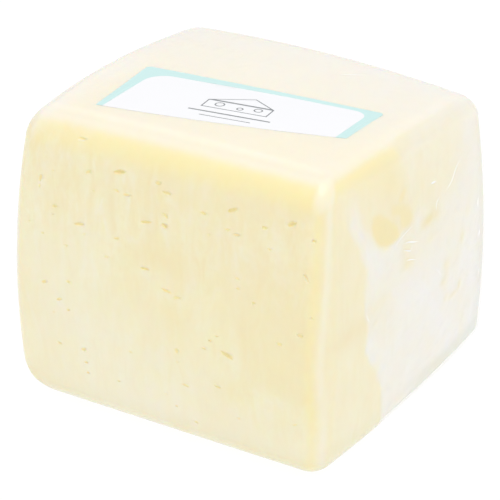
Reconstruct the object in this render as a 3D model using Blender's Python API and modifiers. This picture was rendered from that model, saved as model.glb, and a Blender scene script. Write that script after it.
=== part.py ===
"""A bar of young gouda, sealed in tight clear film, with an oblong paper label stuck on its top.

Metres, +Z up. The bar stands on its flat bottom, with the origin under the middle of its box. The cut face
that shows best looks along -Y, the side with the loose film looks along +X, and the label lies on top.
"""

import itertools
import math
import random

import bmesh
import bpy
import numpy as np
from mathutils import Matrix

MM = 0.001
NAME = "gouda_bar"
X, Y, Z = 0, 1, 2
LOW, HIGH = 0, 1                      # the left, front or bottom side, and the right, back or top side

# The bar: its size between the edges, before its sides bow out
SIZE = np.array((106.8, 102.3, 95.0)) * MM
GRID = 16                             # faces along each edge of the block
FLAT_SHARE = 0.5                      # share of each half side, from its middle, that is no rounded edge

# Radius of each rounded edge, by the two axes that it closes: [low, high of the first][the same of the second]
EDGE_RADII = {
    (X, Y): np.array(((6.3, 15.7), (6.5, 4.7))) * MM,     # upright: left front, left back; right front, back
    (X, Z): np.array(((15.7, 6.7), (7.6, 7.0))) * MM,     # along Y: left bottom, left top; right bottom, top
    (Y, Z): np.array(((7.6, 11.2), (8.3, 11.5))) * MM,    # along X: front bottom, top; back bottom, top
}

# How far each side bows out at its middle, as [low, high] for each axis; the bottom is flat
BOW = np.array(((7.4, 4.4), (4.1, 4.3), (0.0, 4.4))) * MM
TOP_SINK = 1.2 * MM                   # how much flatter than the others the middle of the top is
FOOT_TUCK = 2.0 * MM                  # how far the middle of the lower front edge is drawn back

# How far the knife left each corner from a true block's, by [left, right][front, back][bottom, top]
CORNER_SHIFT = np.array((
    (((-1.9, -2.1, 0.0), (2.2, 1.8, -0.2)), ((-0.3, -0.3, 0.0), (0.0, 0.0, -0.7))),
    (((-0.9, 0.3, 0.0), (-0.8, -0.1, 0.9)), ((2.3, 3.4, 0.0), (-0.8, -1.7, -4.8))),
)) * MM

# The larger eyes of the front face: where they are along X and up Z, length and height in mm, and how many
# degrees their right end is turned up
FRONT_EYES = (
    (-27.8, 91.8, 3.0, 0.8, 5), (-12.2, 86.0, 4.2, 1.3, 12), (-23.6, 83.4, 2.3, 1.1, 20),
    (4.6, 83.7, 3.1, 0.9, 0), (26.3, 83.6, 3.3, 1.2, 24), (45.2, 83.8, 3.3, 1.3, 26),
    (-9.6, 79.7, 2.8, 0.9, 5), (-13.2, 80.2, 2.2, 0.7, -10), (28.1, 76.6, 2.5, 0.8, 5),
    (25.1, 77.5, 1.6, 0.7, 0), (-42.0, 77.0, 2.3, 0.9, 75), (-42.5, 74.4, 1.4, 0.8, 70),
    (4.2, 76.7, 2.3, 0.9, -40), (4.0, 73.5, 2.3, 1.3, -15), (-2.6, 73.0, 4.0, 0.9, 13),
    (-36.4, 69.3, 2.2, 0.9, 12), (-27.0, 66.1, 3.8, 1.0, 12), (-13.0, 65.2, 2.3, 0.9, 20),
    (28.5, 63.5, 1.8, 0.9, 0), (-3.1, 58.1, 3.2, 0.8, 2), (-16.9, 58.4, 1.8, 0.8, 0),
    (4.5, 53.1, 3.4, 1.0, -8), (8.3, 51.8, 2.4, 0.8, 12), (-31.6, 45.9, 1.7, 1.1, 0),
    (-41.4, 43.0, 2.1, 1.1, 25), (-35.7, 38.7, 2.3, 1.0, 24), (25.1, 37.5, 4.3, 1.5, -18),
    (7.6, 33.8, 1.7, 1.3, 90), (-9.2, 28.4, 1.7, 0.9, 0), (21.6, 25.4, 2.1, 0.8, -8),
    (-27.2, 23.6, 2.2, 1.0, 27), (10.4, 22.5, 2.5, 0.8, -8), (47.0, 20.1, 1.8, 0.9, 30),
)
BACK_EYES = 24                        # the hidden cut face has the same eyes, set out by a seeded rule
BACK_EYE_SEED = 5
BACK_EYE_LENGTH = (2.0, 4.4)          # mm, shortest and longest
BACK_EYE_SHAPE = (0.35, 0.65)         # height as a share of the length, least and most
BACK_EYE_TILT = 25                    # degrees, either way
BACK_EYE_REACH = (42.0, 12.0, 84.0)   # mm, furthest from the middle along X, and lowest and highest up Z
BACK_EYE_SPACING = 6.5                # mm, least distance between two of them
EYE_DEPTH = 0.6                       # depth of an eye, as a share of its height
EYE_SIDES = 8
EYE_RINGS = 6

# The label: its corners in plan, with the front edge cut aslant, and how it lies on the film
LABEL_CORNERS = np.array((
    ((-32.5, -36.3), (-37.2, -2.2)),  # left: front, back
    ((43.0, -19.2), (42.6, 5.0)),     # right: front, back
)) * MM
LABEL_BOW = np.array((3.5, 1.0)) * MM    # how far its front and back edges bow to the front
LABEL_THICKNESS = 0.3 * MM
LABEL_GAP = 0.35 * MM                 # clear of the film, over its flat facets
LABEL_GRID = (18, 6)                  # faces along its length and its width

# Looks of the plain solids: colour, roughness
CHEESE_FINISH = ((0.91, 0.82, 0.50, 1.0), 0.35)
LABEL_FINISH = ((0.94, 0.96, 0.96, 1.0), 0.55)


def edge_radius(axis, side, turn, high):
    """Radius at one side of an axis, mixed from the two edges near each point by how far it turns to them."""
    radius = np.zeros(len(turn))
    total = np.full(len(turn), 1e-12)
    for other in {X, Y, Z} - {axis}:
        radii = EDGE_RADII[min(axis, other), max(axis, other)]
        row = radii[side] if axis < other else radii[:, side]
        weight = turn[:, other] ** 2
        radius += weight * row[high[:, other]]
        total += weight
    return radius / total


def rounded_block(cube):
    """Carries points of a cube from -1 to 1 onto a block with its own radius on every edge."""
    high = (cube > 0).astype(int)
    turn = np.clip((np.abs(cube) - FLAT_SHARE) / (1 - FLAT_SHARE), 0, 1)
    along = (np.clip(cube / FLAT_SHARE, -1, 1) + 1) / 2
    normal = np.tan(turn * math.pi / 4) * np.sign(cube)
    normal /= np.linalg.norm(normal, axis=1, keepdims=True)
    points = np.empty_like(cube)
    for axis in (X, Y, Z):
        low_radius = edge_radius(axis, LOW, turn, high)
        high_radius = edge_radius(axis, HIGH, turn, high)
        centre = low_radius - SIZE[axis] / 2 + (SIZE[axis] - low_radius - high_radius) * along[:, axis]
        points[:, axis] = centre + np.where(high[:, axis], high_radius, low_radius) * normal[:, axis]
    return points


def bar_surface(cube):
    """Carries points of a cube from -1 to 1 onto the bar's surface, with bowed sides and shifted corners."""
    block = rounded_block(cube)
    share = np.clip(block / (SIZE / 2), -1, 1)
    middle = 1 - share**2
    near = ((1 - share) / 2, (1 + share) / 2)
    move = np.zeros_like(block)
    for axis in (X, Y, Z):
        first, second = sorted({X, Y, Z} - {axis})
        swell = (middle[:, first] + middle[:, second]) / 2
        outward = BOW[axis, HIGH] * near[HIGH][:, axis] - BOW[axis, LOW] * near[LOW][:, axis]
        move[:, axis] = swell * outward
    move[:, Z] -= TOP_SINK * middle[:, X] * middle[:, Y] * near[HIGH][:, Z]
    move[:, Y] += FOOT_TUCK * middle[:, X] * near[LOW][:, Y] * np.clip(-share[:, Z], 0, 1) ** 2
    for x, y, z in itertools.product((LOW, HIGH), repeat=3):
        weight = near[x][:, X] * near[y][:, Y] * near[z][:, Z]
        move += weight[:, None] * CORNER_SHIFT[x, y, z]
    return block + move


def cube_mesh():
    """A cube from -1 to 1 with every side split into a grid."""
    mesh = bmesh.new()
    bmesh.ops.create_cube(mesh, size=2)
    bmesh.ops.subdivide_edges(mesh, edges=mesh.edges, cuts=GRID - 1, use_grid_fill=True)
    return mesh


def mesh_points(mesh):
    return np.array([vertex.co for vertex in mesh.verts])


def box_middle():
    """The middle of the bar's box in plan, at the height of its bottom."""
    mesh = cube_mesh()
    points = bar_surface(mesh_points(mesh))
    mesh.free()
    low, high = points.min(axis=0), points.max(axis=0)
    return np.array(((low[X] + high[X]) / 2, (low[Y] + high[Y]) / 2, low[Z]))


ORIGIN = box_middle()


def bar_points(cube):
    return bar_surface(cube) - ORIGIN


def face_points(axis, side, places):
    """Points of one face of the bar with the given places along the other two axes, found by closing in."""
    others = sorted({X, Y, Z} - {axis})
    cube = np.zeros((len(places), 3))
    cube[:, axis] = (-1, 1)[side]
    for _ in range(40):
        miss = places - bar_points(cube)[:, others]
        cube[:, others] = np.clip(cube[:, others] + 0.5 * miss / (SIZE[others] / 2), -1, 1)
    return bar_points(cube)


def material(name, finish):
    colour, roughness = finish
    made = bpy.data.materials.new(name)
    made.use_nodes = True
    shader = made.node_tree.nodes["Principled BSDF"]
    shader.inputs["Base Color"].default_value = colour
    shader.inputs["Roughness"].default_value = roughness
    return made


def collection(name):
    made = bpy.data.collections.new(name)
    bpy.context.scene.collection.children.link(made)
    return made


def mesh_object(name, mesh, owner):
    data = bpy.data.meshes.new(name)
    mesh.to_mesh(data)
    mesh.free()
    made = bpy.data.objects.new(name, data)
    owner.objects.link(made)
    return made


def back_eyes():
    """Eyes of the hidden cut face, drawn at random and kept clear of each other."""
    draw = random.Random(BACK_EYE_SEED)
    reach, lowest, highest = BACK_EYE_REACH
    eyes = []
    while len(eyes) < BACK_EYES:
        place = (draw.uniform(-reach, reach), draw.uniform(lowest, highest))
        length = draw.triangular(*BACK_EYE_LENGTH, BACK_EYE_LENGTH[0])
        height = length * draw.uniform(*BACK_EYE_SHAPE)
        tilt = draw.uniform(-BACK_EYE_TILT, BACK_EYE_TILT)
        if all(math.dist(place, eye[:2]) > BACK_EYE_SPACING for eye in eyes):
            eyes.append((*place, length, height, tilt))
    return eyes


def add_eyes(mesh, side, eyes):
    """Adds a flattened ball for each eye, half sunk in the front or the back face."""
    places = np.array([eye[:2] for eye in eyes]) * MM
    for point, (_, _, length, height, tilt) in zip(face_points(Y, side, places), eyes):
        half = np.array((length / 2, height * EYE_DEPTH, height / 2)) * MM
        turned = Matrix.Rotation(math.radians(-tilt), 4, "Y")
        placed = Matrix.Translation(point) @ turned @ Matrix.Diagonal((*half, 1))
        bmesh.ops.create_uvsphere(mesh, u_segments=EYE_SIDES, v_segments=EYE_RINGS, radius=1, matrix=placed)


def make_cheese(parts, cutters):
    mesh = cube_mesh()
    for vertex, point in zip(mesh.verts, bar_points(mesh_points(mesh))):
        vertex.co = point
    bmesh.ops.recalc_face_normals(mesh, faces=mesh.faces)
    cheese = mesh_object("wrapped_cheese", mesh, parts)
    cheese.data.materials.append(material("wrapped_cheese", CHEESE_FINISH))
    cheese.data.shade_smooth()
    eye_mesh = bmesh.new()
    add_eyes(eye_mesh, LOW, FRONT_EYES)
    add_eyes(eye_mesh, HIGH, back_eyes())
    eyes = mesh_object("eye_cutters", eye_mesh, cutters)
    eyes.hide_render = True
    eyes.display_type = "WIRE"
    cut = cheese.modifiers.new("eyes", "BOOLEAN")
    cut.operation = "DIFFERENCE"
    cut.solver = "EXACT"
    cut.object = eyes


def make_label(parts):
    """The label: a sheet between its four corners, laid on the top and thickened upward."""
    mesh = bmesh.new()
    bmesh.ops.create_grid(mesh, x_segments=LABEL_GRID[0], y_segments=LABEL_GRID[1], size=1)
    share = (mesh_points(mesh)[:, :2] + 1) / 2
    along, across = share[:, :1], share[:, 1:]
    left = LABEL_CORNERS[0, 0] * (1 - across) + LABEL_CORNERS[0, 1] * across
    right = LABEL_CORNERS[1, 0] * (1 - across) + LABEL_CORNERS[1, 1] * across
    flat = left * (1 - along) + right * along
    flat[:, 1:] -= 4 * along * (1 - along) * (LABEL_BOW[0] * (1 - across) + LABEL_BOW[1] * across)
    for vertex, point in zip(mesh.verts, face_points(Z, HIGH, flat)):
        vertex.co = point + np.array((0, 0, LABEL_GAP))
    label = mesh_object("label", mesh, parts)
    label.data.materials.append(material("label", LABEL_FINISH))
    sheet = label.modifiers.new("paper", "SOLIDIFY")
    sheet.thickness = LABEL_THICKNESS
    sheet.offset = 1


def main():
    for old in list(bpy.data.objects):
        bpy.data.objects.remove(old)
    parts = collection(NAME)
    cutters = collection(NAME + "_cutters")
    make_cheese(parts, cutters)
    make_label(parts)


main()
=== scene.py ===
"""Looks of a bar of young gouda in tight clear film, with a bordered paper label on top.

Metres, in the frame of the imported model: +Z up, the cut face with the most eyes looks along -Y, the side
with the loose, misted film along +X. The bar's form is worked out from the same named sizes as the solid, on
a finer grid: the film takes its outer surface, and the cheese lies just inside it.
"""

import itertools
import math
import random

import bmesh
import bpy
import numpy as np
from mathutils import Matrix, Vector, bvhtree, geometry, noise


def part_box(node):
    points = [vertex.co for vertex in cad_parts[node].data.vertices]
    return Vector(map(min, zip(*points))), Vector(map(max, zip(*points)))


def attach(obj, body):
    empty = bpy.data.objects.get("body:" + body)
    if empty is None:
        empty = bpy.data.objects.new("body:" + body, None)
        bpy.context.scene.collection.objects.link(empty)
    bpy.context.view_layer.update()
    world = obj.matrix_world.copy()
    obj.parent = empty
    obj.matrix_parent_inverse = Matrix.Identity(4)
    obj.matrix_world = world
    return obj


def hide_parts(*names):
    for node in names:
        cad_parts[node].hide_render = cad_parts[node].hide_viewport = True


MM = 0.001
X, Y, Z = 0, 1, 2
LOW, HIGH = 0, 1  # the left, front or bottom side, and the right, back or top side

# -------- the bar's form, as in the solid
SIZE = np.array((106.8, 102.3, 95.0)) * MM  # between the edges, before the sides bow out
FLAT_SHARE = 0.8  # share of each half side, from its middle, that lies off the rounding

# Radius of each rounded edge, by the two axes that it closes, then [low, high of the first][the same of the
# second]: the upright edges, those along Y and those along X
EDGE_RADII = {
    (X, Y): np.array(((6.3, 15.7), (6.5, 4.7))) * MM,     # left front, left back; right front, right back
    (X, Z): np.array(((15.7, 6.7), (7.6, 7.0))) * MM,     # left bottom, left top; right bottom, right top
    (Y, Z): np.array(((7.6, 11.2), (8.3, 11.5))) * MM,    # front bottom, front top; back bottom, back top
}
BOW = np.array(((7.4, 4.4), (4.1, 4.3), (0.0, 4.4))) * MM  # of each side, outward: [low, high] by axis
TOP_SINK = 1.2 * MM  # how much flatter than the others the middle of the top is
FOOT_TUCK = 2.0 * MM  # how far the lower front edge's middle is drawn back to run straight

# How far the knife left each corner from a true block's, by [left, right][front, back][bottom, top]
CORNER_SHIFT = np.array((
    (((-1.9, -2.1, 0.0), (2.2, 1.8, -0.2)), ((-0.3, -0.3, 0.0), (0.0, 0.0, -0.7))),
    (((-0.9, 0.3, 0.0), (-0.8, -0.1, 0.9)), ((2.3, 3.4, 0.0), (-0.8, -1.7, -4.8))),
)) * MM

CHEESE_GRID = (86, 140, 128)  # faces along X, Y and Z
FILM_GRID = (76, 168, 150)  # finest on the sides that look along X, where the film stands off
PLACING_GRID = (40, 40, 40)  # enough to find the bar's box
CLOSING_STEPS = 60  # enough to find a point of the surface above a place
CHEESE_INSET = 0.12 * MM  # from the bar's surface, where the film touches it
FILM_INSET = 0.05 * MM

# -------- eyes of the cut faces
# The front's larger ones, at the solid's places: along X, up Z, length and height in mm, degrees that the
# right end is up, and here each one's own depth, as a share of its height
FRONT_EYES = (
    (-27.8, 91.8, 3.0, 0.8, 5, 0.55), (-12.2, 86.0, 4.2, 1.3, 12, 0.68), (-23.6, 83.4, 2.3, 1.1, 20, 0.36),
    (4.6, 83.7, 3.1, 0.9, 0, 0.5), (26.3, 83.6, 3.3, 1.2, 24, 0.55), (45.2, 83.8, 3.3, 1.3, 26, 0.5),
    (-9.6, 79.7, 2.8, 0.9, 5, 0.4), (-13.2, 80.2, 2.2, 0.7, -10, 0.4), (28.1, 76.6, 2.5, 0.8, 5, 0.4),
    (25.1, 77.5, 1.6, 0.7, 0, 0.4), (-42.0, 77.0, 2.3, 0.9, 75, 0.5), (-42.5, 74.4, 1.4, 0.8, 70, 0.28),
    (4.2, 76.7, 2.3, 0.9, -40, 0.4), (4.0, 73.5, 2.3, 1.3, -15, 0.5), (-2.6, 73.0, 4.0, 0.9, 13, 0.62),
    (-36.4, 69.3, 2.2, 0.9, 12, 0.5), (-27.0, 66.1, 3.8, 1.0, 12, 0.5), (-13.0, 65.2, 2.3, 0.9, 20, 0.34),
    (28.5, 63.5, 1.8, 0.9, 0, 0.18), (-3.1, 58.1, 3.2, 0.8, 2, 0.6), (-16.9, 58.4, 1.8, 0.8, 0, 0.22),
    (4.5, 53.1, 3.4, 1.0, -8, 0.36), (8.3, 51.8, 2.4, 0.8, 12, 0.42), (-31.6, 45.9, 1.7, 1.1, 0, 0.26),
    (-41.4, 43.0, 2.1, 1.1, 25, 0.4), (-35.7, 38.7, 2.3, 1.0, 24, 0.36), (25.1, 37.5, 4.3, 1.5, -18, 0.42),
    (7.6, 33.8, 1.7, 1.3, 90, 0.24), (-9.2, 28.4, 1.7, 0.9, 0, 0.18), (21.6, 25.4, 2.1, 0.8, -8, 0.46),
    (-27.2, 23.6, 2.2, 1.0, 27, 0.36), (10.4, 22.5, 2.5, 0.8, -8, 0.38), (47.0, 20.1, 1.8, 0.9, 30, 0.18),
)
SLIT = (50.8, 67.6, 5.0, 0.55, -58, 0.3)  # a long narrow one, too fine for the solid, in the same values
# The front's smaller ones: along X, up Z, length in mm
SMALL_EYES = (
    (36.8, 80.8, 1.8), (17.0, 80.6, 1.8), (38.5, 74.8, 1.2), (19.0, 74.5, 0.7), (-37.0, 80.5, 0.9),
    (1.5, 86.0, 1.8), (-37.2, 66.5, 0.9), (-46.5, 62.0, 0.9), (-41.4, 59.4, 1.1), (-32.0, 57.8, 1.0),
    (33.8, 57.0, 1.3), (28.9, 60.2, 1.2), (-32.2, 36.0, 1.2), (-38.0, 33.7, 0.9), (19.4, 40.8, 1.2),
    (17.4, 37.5, 1.2), (21.6, 42.8, 1.1), (7.8, 30.0, 0.8), (42.3, 46.0, 1.6), (48.7, 50.4, 1.9),
    (-36.5, 23.0, 1.5), (-26.5, 19.0, 1.3), (-26.2, 15.4, 1.1), (-14.5, 16.0, 1.1), (2.8, 17.0, 0.8),
    (13.0, 9.9, 1.3), (6.3, 13.6, 1.0), (28.3, 16.3, 0.9), (51.8, 80.0, 1.4), (52.0, 56.5, 0.9),
    (-25.0, 63.5, 0.9), (-21.5, 78.0, 0.9),
)
SMALL_EYE_HEIGHT = 0.65  # as a share of the length
BACK_EYES = 24  # set out on the hidden cut face by the same seeded rule as in the solid
BACK_EYE_SEED = 5
BACK_EYE_LENGTH = (2.0, 4.4)  # mm, shortest and longest
BACK_EYE_SHAPE = (0.35, 0.65)  # height as a share of the length, least and most
BACK_EYE_TILT = 25  # degrees, either way
BACK_EYE_REACH = (42.0, 12.0, 84.0)  # mm, furthest from the middle along X, and lowest and highest up Z
BACK_EYE_SPACING = 6.5  # mm, least distance between two of them
BACK_EYE_DEPTH = 0.5  # share of the height
SMALL_EYE_DEPTH = 0.36
EYE_SIDES = 24
EYE_RINGS = 14
EYE_ROOF = 18  # degrees that an eye's hollow turns up into the cheese
LIP_LEAST = 2.2  # mm, length from which an eye has a painted highlight on the lip below it
LIP_HIGHLIGHT = 0.40  # how much paler the painted highlight makes it
EYE_UNEVEN = 0.22  # how uneven an eye's wall is, as a share of its size
EYE_LUMPS = 1.3  # about how many lumps there are across half an eye

# Where the front is deeper in colour, towards its right, in mm along X and up Z, and how much deeper
DEEP_SHARE = 0.36
DEEP_AREA = (
    (21, 62), (25, 52), (28, 44), (29, 38), (29.5, 33), (27, 29), (24, 26), (27, 22), (32, 22), (34, 28),
    (45, 28), (62, 24), (62, 72), (30, 72),
)
# Deeper and paler patches of the front: along X, up Z, half width, half height in mm, and how much deeper
FRONT_TONES = (
    (5, 64, 17, 8, 0.35), (10, 84, 42, 9, 0.3), (-43, 8, 9, 5, 0.12), (-47, 42, 3, 20, 0.3),
    (8, 45, 5, 4, 0.3), (-6, 52, 3, 4, 0.15), (-15, 74, 2, 6, 0.45), (-18, 85, 1.2, 5, 0.25),
    (24, 67, 1.2, 8, 0.2), (-6, 84, 3, 6, -0.1), (-26, 52, 18, 12, -0.12), (-28, 32, 20, 14, -0.24),
    (2, 16, 24, 9, -0.26), (-44, 70, 8, 16, -0.1), (-22, 78, 10, 10, -0.1), (14, 32, 9, 12, -0.12),
    (4, 70, 3, 2, -0.2), (5, 81, 4, 1.5, -0.2), (-3, 56, 3, 1.5, -0.2), (-2, 62, 7, 4, 0.3),
    (30, 88, 12, 5, 0.25), (5, 87, 6, 4, 0.15), (38, 84, 16, 10, 0.2), (0, 10, 70, 3.5, -0.2),
    (42, 14, 14, 9, -0.28), (25, 18, 5, 5, -0.22), (-40, 28, 10, 16, -0.12), (-15, 46, 8, 12, 0.15),
    (4, 62, 12, 4, 0.18), (50, 72, 2, 4, 0.4), (-34, 9, 14, 3, -0.12), (50, 88, 2.5, 3, 0.5),
    (50, 52, 2, 3, 0.4), (-25, 42, 5, 9, 0.14), (-25, 14, 3, 7, -0.14), (43, 26, 5, 3, -0.25),
    (26, 31, 3, 3, -0.3), (34, 8, 14, 3, -0.2), (17, 24, 4, 4, -0.12), (-48, 24, 4, 12, -0.14),
    (2, 80, 8, 5, 0.12), (26, 72, 2, 4, 0.25), (-37, 80, 9, 9, -0.16),
)
# The same on the right side, along Y and up Z
RIGHT_TONES = (
    (-41, 46.5, 8, 3.2, 0.75), (-37, 58.5, 4, 4, 0.3), (-34.5, 65, 2, 2.5, 0.15), (-40, 36, 4, 5, -0.2),
    (-34, 13, 7, 6, -0.25), (-22, 16, 3, 4, -0.1), (-45, 66, 3, 9, 0.08), (-24, 92, 12, 5, 0.45),
    (-19, 84, 6, 5, 0.45), (-24, 80, 10, 4, 0.1), (-10.5, 79.5, 1.2, 3.5, 0.45), (-50, 14, 3.5, 18, -0.25),
    (-24, 10, 22, 8, -0.2), (-31, 79.5, 3, 3, -0.15), (-18, 86, 5, 4, 0.35), (-34, 46, 3, 4, 0.25),
    (-49, 16, 4, 16, -0.15), (-41, 88, 6, 4, -0.15), (-44, 29, 5, 8, 0.12),
)
FOOT_REACH = (14, 6.5)  # mm, heights below which painted shade darkens the paste a little, and then most
FOOT_SHADE = (0.36, 0.66)  # how much painted shade there is below each
SIDE_DEPTH = 0.28  # how much deeper than the front's the paste of the right side is, partly painted shade of that side
PATCH_DEPTH = 0.20  # and where the film's middle patch touches it
# Facets of the side pressed clear against the film, in mm along Y and up Z, and how much deeper each is
FACETS = (
    (((-28.4, 79), (-24.7, 78.4), (-19.9, 75), (-15, 70.8),
      (-12.8, 66.6), (-20, 65.2), (-25.6, 69), (-28.6, 73)), 0.40),
    (((-18, 78.6), (-7.2, 75), (-5.2, 69.8), (-8, 66.6), (-12.4, 70), (-12.8, 73.3), (-17.6, 75.5)), 0.27),
    (((-9.3, 81.4), (-13.8, 78.8), (-12.6, 77.2), (-8.2, 79.6)), 0.30),
)
FACET_MOST = max(strength for _, strength in FACETS)
FACET_BLUR = 0.5  # mm, half the width over which a facet begins
FACET_GOLD = 1.0  # how golden they are, for each that they are deeper
# A golden area below the side's upper rim, how golden it is, and half the width over which it begins, in mm
GOLDEN_AREA = (
    (-40, 91), (-24, 99), (-11, 99), (-12, 90), (-15, 88), (-11.5, 83), (-13, 79.5), (-22, 84), (-30, 87),
)
GOLDEN_SHARE = 0.42
GOLDEN_BLUR = 3.0
# The golden band down an upright edge, painted brighter as light on the rounding: heights in mm, and how far
# round from the front it is, in degrees
BAND_HEIGHTS = (20, 40, 95)
BAND_TURNS = (30, 17, 43)
BAND_WIDTH = 11  # degrees, half
HIGHLIGHT_BEYOND = 24  # degrees, how much further round than the band the painted highlight line runs
HIGHLIGHT_WIDTH = 9  # degrees, half, of the painted highlight line

# -------- film
# Where the film touches the right side, in mm along Y and up Z; round them it stands off
CONTACT_STRIP = (
    (-60, -8), (-60, 99), (-46, 99), (-43, 86), (-40, 79), (-37, 73), (-33.8, 66), (-31.5, 62.5),
    (-33.2, 57), (-32.5, 50), (-31.5, 45), (-31.5, 37), (-28, 32), (-24.5, 27), (-21.5, 19), (-19.5, 11),
    (-19, -8),
)
CONTACT_PATCH = (
    (-29.5, 76.5), (-27, 70), (-22.5, 65), (-17, 65.5), (-11, 67.5), (-5.5, 67.8), (-5.5, 71.5),
    (-8.5, 75.5), (-11, 80.5), (-16, 78), (-21, 77), (-26, 79),
)
UPPER_PATCH = (
    (-50, 99), (-44, 88), (-37, 87), (-34.5, 84), (-31, 77), (-27, 73), (-11, 75), (-7.5, 77), (-9, 84),
    (-15, 99),
)
# Each with how firmly the film touches there, from 0 to 1, and half the width in mm over which it starts to
CONTACTS = ((CONTACT_STRIP, 0.97, 1.1), (CONTACT_PATCH, 1.0, 1.1), (UPPER_PATCH, 0.85, 2.2))
CONTACT_RISE = 9.0  # mm, width in which the film rises to its full height
# How far edges wander, in mm: of where it touches, of soft spots, of the golden area and so on
CONTACT_RAGGED = 1.6
SPOT_RAGGED = 0.7
GOLDEN_RAGGED = 0.5
FRONT_RAGGED = 0.4
FACET_RAGGED = 0.3
# Thicker and thinner mist on the right side: along Y, up Z, half width, half height in mm, and how much more
MIST_SPOTS = (
    (-37.8, 81.5, 2.6, 4, 0.32), (-34.5, 75.5, 2.6, 4, 0.42), (-30.5, 70, 2.6, 4, 0.4),
    (-27.5, 66, 4, 4, 0.24), (8, 64, 6, 2, -0.25), (20.5, 40, 2.5, 5, -0.2), (30, 32, 3, 3, -0.16),
    (30, 46, 2.5, 3, -0.12), (-29, 45, 3, 4, -0.12), (-25, 28, 3, 3, -0.2), (-21, 62, 7, 4, 0.2),
    (-16, 65, 2, 2.4, 0.2), (-25, 56, 5, 4, 0.12), (-22, 45, 8, 9, -0.16), (-28, 49, 4, 3, -0.14),
    (-20, 34, 6, 4, -0.06), (-13, 51, 4, 6, 0.08), (-6, 47, 8, 5, 0.12), (4, 40, 8, 6, 0.12),
    (12, 34, 7, 6, 0.12), (19, 25, 7, 7, 0.1), (27, 15, 6, 8, 0.14), (44, 52, 4, 5, 0.12),
    (46, 20, 6, 12, 0.1), (30, 33, 3, 4, 0.1), (37, 38, 5, 5, 0.08), (24, 62, 6, 5, 0.06),
    (-1, 67, 3, 2, 0.2), (-8, 60, 3.5, 5, -0.24), (-7, 55, 2.6, 1.6, -0.3), (6, 63.8, 4, 2.0, -0.42),
    (14, 62.5, 4, 1.6, -0.14), (8, 57.5, 5, 1.6, -0.16), (-3, 62, 3, 3, -0.06), (31.5, 48, 2.0, 2.0, -0.4),
    (35.5, 55.5, 2.0, 2.2, -0.22), (19.5, 43.5, 2.4, 1.8, -0.3), (17.5, 38, 2.2, 1.4, -0.36),
    (21, 31, 2.4, 1.3, -0.36), (26, 29.5, 3.2, 1.2, -0.5), (30.8, 31.5, 1.4, 2.0, -0.5),
    (32, 22, 2.4, 5, -0.22), (35.5, 15, 2.6, 5, -0.24), (40, 19, 2.6, 5, -0.14),
    (-26, 43.5, 1.6, 0.9, -0.3), (-6, 33, 2.6, 1.2, -0.12), (-20, 49, 3, 2, -0.12), (-12, 8, 16, 4, -0.04),
    (16, 8, 12, 3, -0.12), (8, 75.5, 3, 0.8, 0.12), (31, 12, 6, 3, 0.16), (20, 36, 2.5, 6, -0.14),
    (28, 42, 3, 5, -0.14), (-4, 54, 3, 3, -0.14), (12, 65, 4, 3, -0.12), (46, 78, 5, 6, -0.12),
)
PRESSED_DEPTH = 0.55  # how much deeper the paste is for thinner mist over it
FILM_LIFT = 0.75 * MM  # how far the film stands off the cheese where it is loose
# Sharp folds of the film, drawn as white ridges whose whiteness is a painted highlight, each a line in mm and
# how broad it is: on the right side, along Y and up Z
RIGHT_FOLDS = (
    (((28.5, 75.2), (26.5, 74.6), (24, 72.8), (22, 71.2), (20.5, 70.4), (17, 69.6)), 0.60),
    (((13.0, 69.3), (11, 68.3), (10.4, 66.8), (11, 65.2)), 0.45),
    (((7, 75.8), (8.8, 75.4), (10.8, 75.1)), 0.9),
    (((-10, 63), (-8, 62.8), (-5, 61.6), (-1.5, 60.3)), 0.8),
    (((-10.5, 61.2), (-8, 60), (-6, 59.2), (-5, 60.4)), 0.6),
    (((-9, 57), (-6.5, 56.4), (-3, 55)), 0.5),
    (((-16, 64.8), (-11, 66.2), (-5, 67.2)), 0.4),
    (((42.9, 57), (42.5, 55.5), (42.7, 53.8)), 0.9),
    (((44.6, 45), (44.4, 44), (44.1, 42.8)), 0.9),
    (((45.6, 30.6), (45.7, 28.4)), 0.6),
    (((-32, 50), (-31, 47.5), (-29.5, 46)), 0.35),
    (((11, 46), (14, 43), (15, 41.5)), 0.2),
)
# The same on the top, along X and Y
TOP_FOLDS = ((((15, 26.5), (18, 29), (21.5, 31.5)), 0.5),)
FOLD_WIDTH = 0.36  # mm, half, of the broadest
FOLD_HEIGHT = 0.16  # mm, of the broadest
FOLD_STEP = 0.5  # mm, between the points that it is drawn through
FOLD_TIP = 0.15  # least of its width and height at its ends, as a share
FOLD_DROP = 0.2  # m, how far out its points start, to be dropped onto the film
RIPPLE_DEPTH = 0.20 * MM
UNEVEN_MIST = 0.05  # how much thicker and thinner mist is in places
MIST_ABOVE = 0.10  # share of the mist that is in the film itself
MIST_BELOW = 0.92  # share that lies on the cheese beneath it, as whey
CONTACT_ALPHA = 0.05  # how much white the film adds where it touches
CONTACT_HAZE = 0.14  # how misted it is where it touches the right side

# -------- label
LABEL_CORNERS = np.array((
    ((-32.5, -36.3), (-37.2, -2.2)),  # left: front, back, in mm
    ((43.0, -19.2), (42.6, 5.0)),     # right: front, back
))
LABEL_BOW = (3.5, 1.0)  # mm, how far its front and back edges bow to the front
LABEL_HEIGHT = -0.13 * MM  # of its underside over the bar's surface: let in, so that no gap shows
LABEL_THICKNESS = 0.11 * MM
LABEL_ROUND = 1.4  # mm, radius of the paper's back corners
WHITE_FRONT = (0.030, 0.962)  # where the white field begins and ends, as shares of the front edge
WHITE_BACK = ((-31.6, -6.9), (39.2, 2.0))  # its back corners, in mm
WHITE_ROUND = (7.0, 4.2)  # mm, their radii
EDGE_STEPS = 16
LABEL_GRID = 2.5  # mm, spacing of the points that let it follow the top
LABEL_CLEAR = 0.4  # mm, how far they keep from its edge
LABEL_SHARP = 40  # degrees, past which its edges are drawn sharp
MOTIF_PLACE = (5.5, -18.0)  # mm, middle of the printed wedge
MOTIF_TURN = 8.0  # degrees
MOTIF_SCALE = 1.25
MOTIF_LINE = 0.34  # mm, width of its lines

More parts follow.
